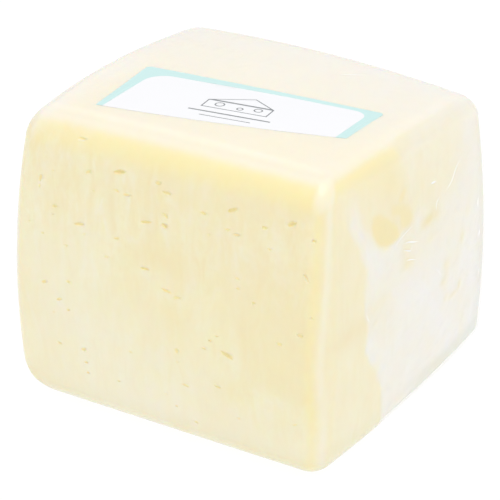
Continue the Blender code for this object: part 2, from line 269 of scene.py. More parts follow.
# -------- colours, linear
PASTE = (0.950, 0.880, 0.560)
PASTE_DEEP = (0.918, 0.782, 0.435)
# golden, and brighter than the paste: painted light on the rounded edges
PASTE_RIM = (0.985, 0.838, 0.385)
PASTE_PALE = (0.955, 0.886, 0.705)
# paler top: painted sheen of the film's gloss, with some of its haze
PASTE_SHEEN = (0.955, 0.860, 0.700)
PASTE_MISTED = (0.925, 0.905, 0.880)
SHADE_TINT = (0.850, 0.885, 0.850)  # what the paste's colour is multiplied by where shade is painted
# deeper yellow than the paste: the wall's own colour, partly painted shade of the hollow
EYE_WALL = (0.990, 0.850, 0.430)
FILM_WHITE = (0.930, 0.915, 0.885)
# white of the folds: painted highlight along them
FOLD_HIGHLIGHT = (0.980, 0.980, 0.970)
LABEL_WHITE = (0.905, 0.908, 0.930)
LABEL_AQUA = (0.590, 0.822, 0.808)
MOTIF_GREY = (0.220, 0.235, 0.250)
FLOOR_GREY = (0.10, 0.10, 0.10)  # its glow makes it white

# -------- camera and light
CAMERA_TARGET = Vector((-9.06, 12.91, 33.44)) * MM  # the point at the middle of the picture
CAMERA_DISTANCE = 0.570
CAMERA_AZIMUTH = 31.7  # degrees, from looking along +Y
CAMERA_ELEVATION = 26.68
CAMERA_LENS = 124.7  # mm, on a sensor 36 mm wide
SKY_LOW = 0.60  # brightness of the surroundings at the horizon
SKY_HIGH = 1.04  # and overhead
FLOOR_GLOW = 0.93
FLOOR_SIZE = 6.0
FLOOR_DROP = 0.2 * MM  # how far below the bar it lies, so that they don't flicker
# Soft square lights: where each is, its side and its power in watts
KEY_LIGHT = ((0.8, -0.6, 2.3), 1.2, 12.5)
FILL_LIGHT = ((-1.2, 1.0, 1.6), 1.2, 1.5)
LIGHTS_AIM = Vector((0, 0, 0.05))


# ======== form
def edge_radius(axis, side, turn, high):
    """Radius at one side of an axis, mixed from its two edges by how far each point has turned to them."""
    radius = np.zeros(len(turn))
    total = np.full(len(turn), 1e-12)
    for other in {X, Y, Z} - {axis}:
        radii = EDGE_RADII[min(axis, other), max(axis, other)]
        row = radii[side] if axis < other else radii[:, side]
        weight = turn[:, other] ** 2
        radius += weight * row[high[:, other]]
        total += weight
    return radius / total


def rounded_block(cube):
    """Carries points of a cube from -1 to 1 onto a block about the origin, each edge with its own radius."""
    high = (cube > 0).astype(int)
    turn = np.clip((np.abs(cube) - FLAT_SHARE) / (1 - FLAT_SHARE), 0, 1)
    along = (np.clip(cube / FLAT_SHARE, -1, 1) + 1) / 2
    normal = np.tan(turn * math.pi / 4) * np.sign(cube)
    normal /= np.linalg.norm(normal, axis=1, keepdims=True)
    points = np.empty_like(cube)
    for axis in (X, Y, Z):
        low_radius = edge_radius(axis, LOW, turn, high)
        high_radius = edge_radius(axis, HIGH, turn, high)
        centre = low_radius - SIZE[axis] / 2 + (SIZE[axis] - low_radius - high_radius) * along[:, axis]
        points[:, axis] = centre + np.where(high[:, axis], high_radius, low_radius) * normal[:, axis]
    return points


def bar_surface(cube):
    """Carries points of a cube from -1 to 1 onto the bar: the block with bowed sides and shifted corners."""
    block = rounded_block(cube)
    share = np.clip(block / (SIZE / 2), -1, 1)
    middle = 1 - share**2
    near = ((1 - share) / 2, (1 + share) / 2)
    move = np.zeros_like(block)
    for axis in (X, Y, Z):
        first, second = sorted({X, Y, Z} - {axis})
        swell = (middle[:, first] + middle[:, second]) / 2
        outward = BOW[axis, HIGH] * near[HIGH][:, axis] - BOW[axis, LOW] * near[LOW][:, axis]
        move[:, axis] = swell * outward
    move[:, Z] -= TOP_SINK * middle[:, X] * middle[:, Y] * near[HIGH][:, Z]
    move[:, Y] += FOOT_TUCK * middle[:, X] * near[LOW][:, Y] * np.clip(-share[:, Z], 0, 1) ** 2
    for x, y, z in itertools.product((LOW, HIGH), repeat=3):
        weight = near[x][:, X] * near[y][:, Y] * near[z][:, Z]
        move += weight[:, None] * CORNER_SHIFT[x, y, z]
    return block + move


def box_shell(counts):
    """The surface of a cube from -1 to 1, split along each axis into counts: its points and its faces."""
    numbers, places, faces = {}, [], []

    def number(place):
        if place not in numbers:
            numbers[place] = len(places)
            places.append(place)
        return numbers[place]

    for axis, side in itertools.product((X, Y, Z), (LOW, HIGH)):
        first, second = (axis + 1) % 3, (axis + 2) % 3
        for a, b in itertools.product(range(counts[first]), range(counts[second])):
            ring = ((a, b), (a + 1, b), (a + 1, b + 1), (a, b + 1))
            face = []
            for u, v in ring if side == HIGH else reversed(ring):
                place = [0, 0, 0]
                place[axis], place[first], place[second] = side * counts[axis], u, v
                face.append(number(tuple(place)))
            faces.append(face)
    return np.array(places) * 2 / np.array(counts) - 1, faces


def bar_origin(node):
    """What to take from the bar's own coordinates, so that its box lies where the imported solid's does."""
    points = bar_surface(box_shell(PLACING_GRID)[0])
    low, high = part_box(node)
    middle = (points.min(axis=0) + points.max(axis=0) - np.array(low) - np.array(high)) / 2
    return np.array((middle[X], middle[Y], points[:, Z].min()))


def bar_points(cube):
    return bar_surface(cube) - ORIGIN


def face_points(axis, side, places):
    """Points of one face of the bar that have given places along the other two axes, found by closing in."""
    others = sorted({X, Y, Z} - {axis})
    cube = np.zeros((len(places), 3))
    cube[:, axis] = (-1, 1)[side]
    for _ in range(CLOSING_STEPS):
        miss = places - bar_points(cube)[:, others]
        cube[:, others] = np.clip(cube[:, others] + miss / SIZE[others], -1, 1)
    return bar_points(cube)


# ======== fields over the surface
def smooth_step(low, high, value):
    """Rises smoothly from 0 at low to 1 at high, which may also be the lesser of the two."""
    share = np.clip((value - low) / (high - low), 0, 1)
    return share * share * (3 - 2 * share)


def bell(middle, width, value):
    return np.exp(-(((value - middle) / width) ** 2))


def fractal(points, size, octaves=4, seed=0.0, stretch=(1, 1, 1)):
    """Smooth noise of about -1 to 1 at each point, with lumps of the given size in metres."""
    scaled = points / size / np.array(stretch) + seed
    return np.array([noise.fractal(Vector(p), 1.0, 2.0, octaves) for p in scaled])


def line_distance(places, line):
    """How far each place is from a line through points."""
    nearest = np.full(len(places), np.inf)
    for start, end in itertools.pairwise(np.array(line, float)):
        way = end - start
        share = np.clip((places - start) @ way / (way @ way), 0, 1)
        nearest = np.minimum(nearest, np.linalg.norm(places - start - share[:, None] * way, axis=1))
    return nearest


def outline_distance(places, outline):
    """How far each place is from a closed outline, below 0 inside it."""
    ring = (*outline, outline[0])
    inside = np.zeros(len(places), bool)
    for (x0, y0), (x1, y1) in itertools.pairwise(ring):
        if y0 != y1:
            crosses = (y0 > places[:, 1]) != (y1 > places[:, 1])
            inside ^= crosses & (places[:, 0] < x0 + (x1 - x0) * (places[:, 1] - y0) / (y1 - y0))
    return np.where(inside, -1, 1) * line_distance(places, ring)


def spots_sum(places, spots):
    """The sum of soft spots at places: each has its middle, half width, half height and strength."""
    total = np.zeros(len(places))
    for first, second, wide, high, strength in spots:
        away = ((places[:, 0] - first) / wide) ** 2 + ((places[:, 1] - second) / high) ** 2
        total += strength * np.exp(-away)
    return total


class Film:
    """What the film does over the bar: where it touches, how misted it is and how far it stands off."""

    def __init__(self, points, normals):
        self.points = points
        self.normals = normals
        self.rough = fractal(points, 9 * MM, 3, seed=3.7)
        self.wander = np.stack((self.rough, fractal(points, 9 * MM, 3, seed=6.2)), axis=1)
        self.lumps = fractal(points, 24 * MM, 3, seed=11.3)
        # How far each point looks towards each side, from 0 to 1
        self.facing = {
            (axis, side): smooth_step(0.45, 0.8, normals[:, axis] * (-1, 1)[side])
            for axis in (X, Y, Z)
            for side in (LOW, HIGH)
        }
        self.touching, outside = self.contact()
        self.stand = self.facing[X, HIGH] * smooth_step(0, CONTACT_RISE, outside)
        self.lift = FILM_LIFT * self.stand

    def places(self, axis, ragged=0.0):
        """Where the points are along the other two axes, in mm, unsteady by about ragged."""
        return self.points[:, sorted({X, Y, Z} - {axis})] / MM + ragged * self.wander

    def contact(self):
        """How firmly the film touches the right side, and how far each point is from where it does, in mm."""
        places = self.places(X, CONTACT_RAGGED)
        touching = np.zeros(len(places))
        outside = np.full(len(places), np.inf)
        for outline, share, blur in CONTACTS:
            distance = outline_distance(places, outline)
            outside = np.minimum(outside, distance)
            touching = np.maximum(touching, share * (1 - smooth_step(-blur, blur, distance)))
        return touching, outside

    def right_mist(self):
        """The side with the loose film: clear where it touches, thick low down and thinner further up."""
        y, z = self.places(X).T
        mist = 0.82 - 0.17 * smooth_step(40, 58, z)
        mist -= 0.36 * smooth_step(62, 74, z) * (1 - smooth_step(14, 42, y))
        mist += 0.10 * smooth_step(28, 44, y)
        mist += spots_sum(self.places(X, SPOT_RAGGED), MIST_SPOTS)
        mist += UNEVEN_MIST * (self.rough + self.lumps)
        mist += 0.35 * smooth_step(86, 93, z) * smooth_step(-12, 2, y)
        clear = 1 - facet_depth(self.places(X, FACET_RAGGED)) / FACET_MOST
        return np.clip(mist, 0, 1) * (1 - self.touching) + CONTACT_HAZE * self.touching * clear

    def top_mist(self):
        """Nearly clear in front and milkier towards the back."""
        x, y = self.places(Z).T
        mist = 0.07 + 0.38 * smooth_step(-28, 24, y) + 0.14 * smooth_step(18, 40, y)
        mist += 0.14 * smooth_step(0, 30, x) * smooth_step(25, 40, y) + 0.18 * smooth_step(-36, -48, x)
        mist += 0.26 * smooth_step(-34, -47, x) * smooth_step(8, -6, y)
        return mist + UNEVEN_MIST * (self.rough + self.lumps)

    def front_mist(self):
        """Touching nearly all over, a little paler low down on the left."""
        x, z = self.places(Y).T
        low_left = smooth_step(30, -20, x) * smooth_step(75, 35, z)
        return 0.05 + 0.12 * low_left + 0.05 * self.lumps + 0.04 * self.rough

    def plain_mist(self, level, spread):
        """Mist of hidden sides, in loose patches like those that show."""
        return level + spread * smooth_step(-0.15, 0.35, self.lumps + 0.4 * self.rough)

    def mist(self):
        sides = {
            (X, HIGH): self.right_mist(),
            (X, LOW): self.plain_mist(0.06, 0.5),
            (Y, LOW): self.front_mist(),
            (Y, HIGH): self.plain_mist(0.05, 0.16),
            (Z, HIGH): self.top_mist(),
            (Z, LOW): self.plain_mist(0.08, 0.3),
        }
        weights = sum(self.facing.values()) + 1e-6
        mist = sum(self.facing[side] * value for side, value in sides.items()) / weights
        return np.clip(mist, 0, 1)


# ======== meshes
def new_object(name, data):
    made = bpy.data.objects.new(name, data)
    bpy.context.scene.collection.objects.link(made)
    return made


def finished(built, name):
    """The mesh of what bmesh has built."""
    mesh = bpy.data.meshes.new(name)
    built.to_mesh(mesh)
    built.free()
    return mesh


def grid_mesh(name, counts):
    """A mesh of the bar's surface, its points and their normals."""
    cube, faces = box_shell(counts)
    mesh = bpy.data.meshes.new(name)
    mesh.from_pydata(bar_points(cube), [], faces)
    mesh.shade_smooth()
    return mesh, *read_surface(mesh)


def read_vectors(owners, name):
    values = np.empty(len(owners) * 3, np.float32)
    owners.foreach_get(name, values)
    return values.reshape(-1, 3).astype(float)


def read_surface(mesh):
    """A mesh's points and their normals."""
    return read_vectors(mesh.vertices, "co"), read_vectors(mesh.vertex_normals, "vector")


def write_points(mesh, points):
    mesh.vertices.foreach_set("co", points.astype(np.float32).ravel())
    mesh.update()


def write_attribute(mesh, name, values):
    mesh.attributes.new(name, "FLOAT", "POINT").data.foreach_set("value", values.astype(np.float32))


def work_in_modifiers(piece):
    """Gives the piece the mesh that its modifiers make."""
    bpy.context.view_layer.update()
    evaluated = piece.evaluated_get(bpy.context.evaluated_depsgraph_get())
    mesh = bpy.data.meshes.new_from_object(evaluated)
    piece.modifiers.clear()
    piece.data = mesh


# ======== materials
class Nodes:
    """Short ways to add shader nodes to a material."""

    def __init__(self, name):
        self.material = bpy.data.materials.new(name)
        self.material.use_nodes = True
        self.tree = self.material.node_tree
        self.shader = self.tree.nodes["Principled BSDF"]

    def add(self, kind, settings=None, **inputs):
        """Adds a node. Its inputs are named, with _ for a blank, or numbered, such as i0."""
        node = self.tree.nodes.new(kind)
        for key, value in (settings or {}).items():
            setattr(node, key, value)
        for key, value in inputs.items():
            self.put(node, key.replace("_", " "), value)
        return node

    def put(self, node, key, value):
        socket = node.inputs[int(key[1:])] if key[0] == "i" and key[1:].isdigit() else node.inputs[key]
        if isinstance(value, bpy.types.NodeSocket):
            self.tree.links.new(value, socket)
        else:
            socket.default_value = value

    def set(self, **inputs):
        for key, value in inputs.items():
            self.put(self.shader, key.replace("_", " "), value)

    def place(self, stretch=(1, 1, 1)):
        """Where a point is on the piece, in metres, squeezed by stretch."""
        coordinates = self.add("ShaderNodeTexCoord").outputs["Object"]
        return self.add("ShaderNodeMapping", Vector=coordinates, Scale=stretch).outputs["Vector"]

    def noise(self, scale, detail=3.0, roughness=0.5, distortion=0.0, stretch=(1, 1, 1)):
        made = self.add("ShaderNodeTexNoise", Vector=self.place(stretch), Scale=scale, Detail=detail)
        self.put(made, "Roughness", roughness)
        self.put(made, "Distortion", distortion)
        return made.outputs["Fac"]

    def attribute(self, name):
        return self.add("ShaderNodeAttribute", {"attribute_name": name}).outputs["Fac"]

    def combine(self, operation, first, second, clamp=False):
        settings = {"operation": operation, "use_clamp": clamp}
        return self.add("ShaderNodeMath", settings, i0=first, i1=second).outputs[0]

    def blend(self, first, first_share, second, second_share):
        """The sum of two values, each times its share."""
        parts = (self.combine("MULTIPLY", first, first_share), self.combine("MULTIPLY", second, second_share))
        return self.combine("ADD", *parts)

    def span(self, value, low, high, to_low, to_high):
        """Carries a value from one range to another, held at its ends."""
        ends = {"From_Min": low, "From_Max": high, "To_Min": to_low, "To_Max": to_high}
        return self.add("ShaderNodeMapRange", Value=value, **ends).outputs[0]

    def mix(self, share, first, second, blend="MIX"):
        first, second = ((*value, 1) if isinstance(value, tuple) else value for value in (first, second))
        settings = {"data_type": "RGBA", "blend_type": blend}
        return self.add("ShaderNodeMix", settings, i0=share, i6=first, i7=second).outputs[2]

    def bump(self, height, strength, distance):
        made = self.add("ShaderNodeBump", Height=height, Strength=strength, Distance=distance)
        return made.outputs["Normal"]


def paste_material():
    """Moist young cheese: mottled pale yellow, golden along the rims, with faint upright drag marks, and
    painted light and shade: brighter rims, highlights, a sheen on the top and shade low down.
    """
    nodes = Nodes("cheese_paste")
    mottle = nodes.noise(38, 3, 0.55)
    grain = nodes.noise(420, 3, 0.6)
    streaks = nodes.noise(260, 2, 0.5, 0.4, (1, 1, 0.07))
    drags = nodes.noise(120, 3, 0.6, 0.6, (1, 1, 0.12))
    smears = nodes.noise(230, 3, 0.6, 1.0, (1, 1, 0.35))
    worn = nodes.span(nodes.attribute("worn"), 0, 1, 0.55, 1.0)
    colour = nodes.mix(nodes.span(mottle, 0.38, 0.66, 0, 0.40), PASTE, PASTE_DEEP)
    layers = (
        (streaks, 0.42, 0.70, 0.45, PASTE_PALE),
        (drags, 0.45, 0.72, 0.45, PASTE_DEEP),
        (drags, 0.50, 0.25, 0.45, PASTE_PALE),
        (smears, 0.50, 0.68, 0.60, PASTE_DEEP),
        (smears, 0.48, 0.30, 0.60, PASTE_PALE),
        (grain, 0.42, 0.66, 0.34, PASTE_DEEP),
    )
    for pattern, low, high, most, tint in layers:
        share = nodes.combine("MULTIPLY", nodes.span(pattern, low, high, 0, most), worn)
        colour = nodes.mix(share, colour, tint)
    colour = nodes.mix(nodes.attribute("deep"), colour, PASTE_DEEP)
    # Golden rims and band, with painted light that makes them brighter
    colour = nodes.mix(nodes.attribute("rim"), colour, PASTE_RIM)
    # Paler patches, and painted highlights: a line down the upright edge and the top right corner
    colour = nodes.mix(nodes.attribute("pale_and_highlight"), colour, PASTE_PALE)
    # Painted sheen: the top paler, standing in for the film's gloss
    colour = nodes.mix(nodes.attribute("top"), colour, PASTE_SHEEN)
    cloudy = nodes.span(nodes.noise(150, 4, 0.62, 0.6), 0.3, 0.7, 0.86, 1.12)
    colour = nodes.mix(nodes.combine("MULTIPLY", nodes.attribute("misted"), cloudy), colour, PASTE_MISTED)
    # Painted shade: the paste darkened at the foot, over the right side and along the top's front margin
    colour = nodes.mix(nodes.attribute("painted_shade"), colour, SHADE_TINT, "MULTIPLY")
    relief = nodes.blend(streaks, 0.6, grain, 0.4)
    nodes.set(
        Base_Color=colour,
        Roughness=nodes.span(mottle, 0.3, 0.7, 0.30, 0.42),
        Normal=nodes.bump(relief, 0.25, 0.0004),
        Subsurface_Weight=0.35,
        Subsurface_Radius=(1.0, 0.55, 0.22),
        Subsurface_Scale=0.004,
        Coat_Weight=0.6,
        Coat_Roughness=0.12,
        IOR=1.45,
    )
    return nodes.material


def eye_material():
    """The wall of an eye: moist, a deeper yellow, partly painted shade of the hollow, darker in its depth."""
    nodes = Nodes("cheese_eye")
    spots = nodes.noise(900, 2, 0.5)
    nodes.set(
        Base_Color=nodes.mix(nodes.span(spots, 0.35, 0.7, 0, 0.35), EYE_WALL, PASTE_DEEP),
        Roughness=nodes.span(spots, 0.3, 0.7, 0.22, 0.35),
        Normal=nodes.bump(spots, 0.2, 0.0002),
        Subsurface_Weight=0.3,
        Subsurface_Radius=(1.0, 0.5, 0.2),
        Subsurface_Scale=0.002,
    )
    return nodes.material


def film_material():
    """Clear film: nearly nothing where it touches, whiter where it is misted."""
    nodes = Nodes("clear_film")
    cloud = nodes.noise(110, 3, 0.55, 0.5)
    scratches = nodes.noise(420, 2, 0.5, 0.6, (1, 0.5, 1))
    cloudy = nodes.span(cloud, 0.3, 0.7, 0.85 * MIST_ABOVE, 1.1 * MIST_ABOVE)
    thick = nodes.combine("MULTIPLY", nodes.attribute("mist"), cloudy)
    relief = nodes.blend(cloud, 0.7, scratches, 0.3)
    nodes.set(
        Base_Color=nodes.mix(nodes.span(cloud, 0.3, 0.7, 0, 0.3), FILM_WHITE, PASTE_PALE),
        Roughness=nodes.span(scratches, 0.3, 0.7, 0.16, 0.30),
        Alpha=nodes.combine("ADD", thick, CONTACT_ALPHA, clamp=True),
        Normal=nodes.bump(relief, 0.10, 0.0004),
        IOR=1.5,
    )
    return nodes.material


def fold_material():
    """A fold of the film, seen on edge: white as a painted highlight, and glossy."""
    nodes = Nodes("film_fold")
    shine = nodes.noise(300, 2, 0.5)
    nodes.set(
        Base_Color=nodes.mix(nodes.span(shine, 0.35, 0.7, 0, 0.2), FOLD_HIGHLIGHT, FILM_WHITE),
        Roughness=nodes.span(shine, 0.3, 0.7, 0.12, 0.25),
        IOR=1.5,
    )
    return nodes.material


def print_material(name, colour):
    """Coated paper, printed in one colour: a faint fibre and a soft sheen."""
    nodes = Nodes(name)
    fibre = nodes.noise(900, 3, 0.6)
    tone = nodes.noise(60, 2, 0.5)
    shaded = nodes.mix(nodes.span(tone, 0.3, 0.7, 0, 0.04), colour, tuple(0.86 * c for c in colour))
    nodes.set(
        Base_Color=shaded,
        Roughness=nodes.span(fibre, 0.3, 0.7, 0.42, 0.55),
        Normal=nodes.bump(fibre, 0.12, 0.0001),
        Specular_IOR_Level=0.4,
    )
    return nodes.material


# ======== cheese
def back_eyes():
    """Eyes of the hidden cut face, drawn at random and kept clear of each other."""
    draw = random.Random(BACK_EYE_SEED)
    reach, lowest, highest = BACK_EYE_REACH
    eyes = []
    while len(eyes) < BACK_EYES:
        place = (draw.uniform(-reach, reach), draw.uniform(lowest, highest))
        length = draw.triangular(*BACK_EYE_LENGTH, BACK_EYE_LENGTH[0])
        height = length * draw.uniform(*BACK_EYE_SHAPE)
        tilt = draw.uniform(-BACK_EYE_TILT, BACK_EYE_TILT)
        if all(math.dist(place, eye[:2]) > BACK_EYE_SPACING for eye in eyes):
            eyes.append((*place, length, height, tilt, BACK_EYE_DEPTH))
    return eyes


def add_eyes(built, side, eyes):
    """Adds an uneven flattened ball for each eye, sunk in the front or back face, its hollow turned up."""
    places = np.array([eye[:2] for eye in eyes]) * MM
    roof = Matrix.Rotation(math.radians(EYE_ROOF if side == LOW else -EYE_ROOF), 4, "X")
    for point, (x, z, length, height, tilt, depth) in zip(face_points(Y, side, places), eyes):
        half = Vector((length / 2, height * depth, height / 2)) * MM
        placed = Matrix.Translation(point) @ Matrix.Rotation(math.radians(-tilt), 4, "Y") @ roof
        ball = bmesh.ops.create_uvsphere(built, u_segments=EYE_SIDES, v_segments=EYE_RINGS, radius=1)
        for vertex in ball["verts"]:
            spot = vertex.co * EYE_LUMPS + Vector((x, side, z))
            lump = 1 + EYE_UNEVEN * noise.fractal(spot, 1.0, 2.0, 3)
            vertex.co = placed @ Vector(a * b * lump for a, b in zip(vertex.co, half))


def make_cheese():
    mesh, points, normals = grid_mesh("cheese", CHEESE_GRID)
    film = Film(points, normals)
    write_points(mesh, points - normals * (CHEESE_INSET + film.lift)[:, None])
    cheese = new_object("cheese", mesh)
    eyes = bmesh.new()
    small = [(x, z, length, length * SMALL_EYE_HEIGHT, 0, SMALL_EYE_DEPTH) for x, z, length in SMALL_EYES]
    add_eyes(eyes, LOW, (*FRONT_EYES, SLIT, *small))
    add_eyes(eyes, HIGH, back_eyes())
    for face in eyes.faces:
        face.material_index = 1
        face.smooth = True
    cutters = new_object("eye_cutters", finished(eyes, "eye_cutters"))
    for owner in (cheese, cutters):
        owner.data.materials.append(PASTE_MATERIAL)
        owner.data.materials.append(EYE_MATERIAL)
    cut = cheese.modifiers.new("eyes", "BOOLEAN")
    cut.operation = "DIFFERENCE"
    cut.solver = "MANIFOLD"
    cut.object = cutters
    work_in_modifiers(cheese)
    bpy.data.objects.remove(cutters)
    add_cheese_shades(cheese.data)
    return cheese


def front_tone(places):
    """How much deeper than the paste the front is, at places in mm along X and up Z, below 0 where paler, and
    where painted highlights lie on the lips below larger eyes.
    """
    edge = outline_distance(places, DEEP_AREA)
    lip_highlights = [
        (x + 0.15 * length, z - height - 0.7, 0.55 * length, 0.9, -LIP_HIGHLIGHT)
        for x, z, length, height, _, _ in FRONT_EYES
        if length > LIP_LEAST
    ]
    return DEEP_SHARE * (1 - smooth_step(-3.0, 2.0, edge)) + spots_sum(places, (*FRONT_TONES, *lip_highlights))


def right_tone(places):
    """The same for the right side, at places in mm along Y and up Z."""
    patch = 1 - smooth_step(-1.6, 1.2, outline_distance(places, CONTACT_PATCH))
    return SIDE_DEPTH + PATCH_DEPTH * patch + spots_sum(places, RIGHT_TONES)


def facet_depth(places):
    """How much deeper the facets make the right side, at places in mm along Y and up Z."""
    depth = np.zeros(len(places))
    for outline, strength in FACETS:
        inside = smooth_step(FACET_BLUR, -FACET_BLUR, outline_distance(places, outline))
        depth = np.maximum(depth, strength * inside)
    return depth


def rims_of_top(places, normals):
    """How golden the rims round the top are, painted brighter as light on the rounding: less far back on the
    right, and none on the left side.
    """
    x, y, _ = places.T
    up = normals[:, Z]
    along_right = smooth_step(0.3, 0.7, normals[:, X])
    gold = smooth_step(0.15, 0.62, up) * smooth_step(0.14, 0, up - 0.76 + 0.12 * along_right)
    gold *= 1 - 0.9 * smooth_step(36, 48, x) * smooth_step(-22, -6, y)
    gold *= 1 - 0.3 * smooth_step(-20, -45, x) * (1 - along_right)
    return gold * (1 - smooth_step(0.0, 0.25, -normals[:, X]))


def painted_shade_places(places, normals):
    """How much painted shade darkens the paste: at the foot, and on the right side a little below its top,
    most low down and at the back edge.
    """
    _, y, z = places.T
    along_right = smooth_step(0.3, 0.7, normals[:, X])
    painted_shade = FOOT_SHADE[0] * smooth_step(FOOT_REACH[0], 5, z) + FOOT_SHADE[1] * smooth_step(FOOT_REACH[1], 1.5, z)
    painted_shade += 0.55 * along_right * smooth_step(13, 8.5, z) * smooth_step(-10, 15, y)
    return painted_shade + along_right * (0.14 * smooth_step(90, 70, z) + 0.55 * smooth_step(41, 50, y))


def add_cheese_shades(mesh):
    """Where the paste is deeper, golden, pale, misted or worn by the knife, and where light and shade are
    painted on it (brighter rims, highlights, a sheen on the top, shade), as shares from 0 to 1.
    """
    points, normals = read_surface(mesh)
    film = Film(points, normals)
    x, _, z = points.T / MM
    up = normals[:, Z]
    upright = 1 - up**2
    uneven = fractal(points, 26 * MM, 3, seed=5.1)
    on_front, on_right = film.facing[Y, LOW], film.facing[X, HIGH]

    facets = facet_depth(film.places(X, FACET_RAGGED))
    pressed = PRESSED_DEPTH * np.clip(-spots_sum(film.places(X, SPOT_RAGGED), MIST_SPOTS), 0, 1)
    front = on_front * front_tone(film.places(Y, FRONT_RAGGED))
    right = on_right * (right_tone(film.places(X, SPOT_RAGGED)) + facets + pressed)
    hidden = smooth_step(0.3, 0.8, np.maximum(normals[:, Y], -normals[:, X])) * 0.5 * uneven
    tone = front + right + hidden + 0.10 * uneven

    # Down an upright edge a golden band, painted brighter as light, runs towards the front and then back,
    # with a painted highlight line beside it
    turn = np.degrees(np.arctan2(np.abs(normals[:, X]), np.abs(normals[:, Y])))
    band = np.interp(z, BAND_HEIGHTS, BAND_TURNS)
    line = upright * bell(band + HIGHLIGHT_BEYOND, HIGHLIGHT_WIDTH, turn)
    line *= smooth_step(0.2, 0.45, np.abs(normals[:, X] * normals[:, Y]))
    gold = np.maximum(0.80 * rims_of_top(points / MM, normals), 0.45 * upright * bell(band, BAND_WIDTH, turn))
    edge = outline_distance(film.places(X, GOLDEN_RAGGED), GOLDEN_AREA)
    golden = np.maximum(GOLDEN_SHARE * smooth_step(GOLDEN_BLUR, -GOLDEN_BLUR, edge), FACET_GOLD * facets)
    rim = np.maximum(gold * (1 + 0.2 * uneven), on_right * golden)

    # Painted sheen on the faces turned up
    top = smooth_step(0.70, 0.90, up)
    # Painted highlight: the top right front corner, paler and less golden
    corner = smooth_step(0.55, 0.75, up + normals[:, X] - normals[:, Y] - 0.95) * smooth_step(40, 50, x)
    # Painted shade at the foot, on the right side and along the top's front margin, less beside the upright
    # edge's band; also darker where the film is pressed clear and on the facets
    painted_shade = painted_shade_places(points / MM, normals) * (1 - 0.8 * bell(band + 10, 16, turn) * upright)
    painted_shade += on_right * (0.8 * pressed + 0.25 * facets)
    painted_shade += 0.35 * bell(0.93, 0.04, up) * smooth_step(0, 0.2, -normals[:, Y])

    shades = {
        "rim": rim * (1 - 0.85 * corner),
        "deep": tone * (1 - line) * (1 - top),
        # Painted highlights on the edge line and the corner, and the paste's paler patches
        "pale_and_highlight": 0.48 * line + 0.5 * corner + np.clip(-tone, 0, 1),
        "top": 0.80 * top,
        "misted": MIST_BELOW * film.mist(),
        "painted_shade": painted_shade,
        "worn": on_front * smooth_step(45, 78, z),
    }
    for name, share in shades.items():
        write_attribute(mesh, name, np.clip(share, 0, 1))


# ======== film
def make_film():
    mesh, points, normals = grid_mesh("film", FILM_GRID)
    film = Film(points, normals)
    ripples = fractal(points, 9 * MM, 3, seed=21.0, stretch=(1, 1.6, 0.7))
    ridges = np.abs(fractal(points, 18 * MM, 3, seed=8.0, stretch=(1, 0.8, 1.4)))
    sink = RIPPLE_DEPTH * (0.4 * (1 + ripples) + 1.2 * ridges)
    write_points(mesh, points - normals * (FILM_INSET + film.stand * sink)[:, None])
    write_attribute(mesh, "mist", film.mist())
    mesh.materials.append(film_material())
    film_piece = new_object("film", mesh)
    film_piece.visible_shadow = False
    film_piece.visible_diffuse = False
    return film_piece


def smooth_line(line):
    """Places along a smooth curve through points, about a step apart."""
    line = np.array(line, float)
    ends = (2 * line[0] - line[1], *line, 2 * line[-1] - line[-2])
    places = []
    for before, start, end, after in zip(ends, ends[1:], ends[2:], ends[3:]):
        count = max(2, round(np.linalg.norm(end - start) / FOLD_STEP))
        share = np.linspace(0, 1, count, endpoint=False)[:, None]
        bend = 2 * before - 5 * start + 4 * end - after
        twist = 3 * start - before - 3 * end + after
        places.append(start + ((end - before) * share + bend * share**2 + twist * share**3) / 2)
    return np.vstack((*places, line[-1]))


def fold_ridge(built, surface, axis, side, line, strength):
    """Adds a low ridge on the film along a line, which thins out towards both ends."""
    outward = Vector((0, 0, 0))
    outward[axis] = (-1, 1)[side]
    first, second = sorted({X, Y, Z} - {axis})
    hits = []
    for place in smooth_line(line):
        start = outward * FOLD_DROP
        start[first], start[second] = place * MM
        hits.append(surface.ray_cast(start, -outward)[:2])
    last = len(hits) - 1
    rows = []
    for k, (point, normal) in enumerate(hits):
        along = hits[min(k + 1, last)][0] - hits[max(k - 1, 0)][0]
        across = along.cross(normal).normalized()
        size = strength * max(FOLD_TIP, math.sin(math.pi * k / last)) * MM
        edge = across * FOLD_WIDTH * size
        crest = point + normal * FOLD_HEIGHT * size
        rows.append([built.verts.new(p) for p in (point - edge, crest, point + edge)])
    for row, after in itertools.pairwise(rows):
        for k in (0, 1):
            built.faces.new((row[k], row[k + 1], after[k + 1], after[k])).smooth = True


def make_folds(film_piece):
    data = film_piece.data
    corners = [vertex.co for vertex in data.vertices]
    surface = bvhtree.BVHTree.FromPolygons(corners, [face.vertices for face in data.polygons])
    ridges = bmesh.new()
    for axis, side, folds in ((X, HIGH, RIGHT_FOLDS), (Z, HIGH, TOP_FOLDS)):
        for line, strength in folds:
            fold_ridge(ridges, surface, axis, side, line, strength)
    piece = new_object("film_folds", finished(ridges, "film_folds"))
    piece.data.materials.append(fold_material())
    piece.visible_shadow = False
    return piece


# ======== label
def rounded_corner(before, corner, after, radius, steps=8):
    """Points of an arc that rounds a corner off."""
    before, corner, after = (Vector(p) for p in (before, corner, after))
    one, two = (before - corner).normalized(), (after - corner).normalized()
    half = one.angle(two) / 2
    start, end = corner + one * radius / math.tan(half), corner + two * radius / math.tan(half)
    centre = corner + (one + two).normalized() * radius / math.sin(half)
    turn = math.pi - 2 * half
    first, last = (start - centre).normalized(), (end - centre).normalized()
    arc = []
    for step in range(steps + 1):
        share = step / steps
        way = (math.sin((1 - share) * turn) * first + math.sin(share * turn) * last) / math.sin(turn)
        arc.append(tuple(centre + way * radius))
    return arc


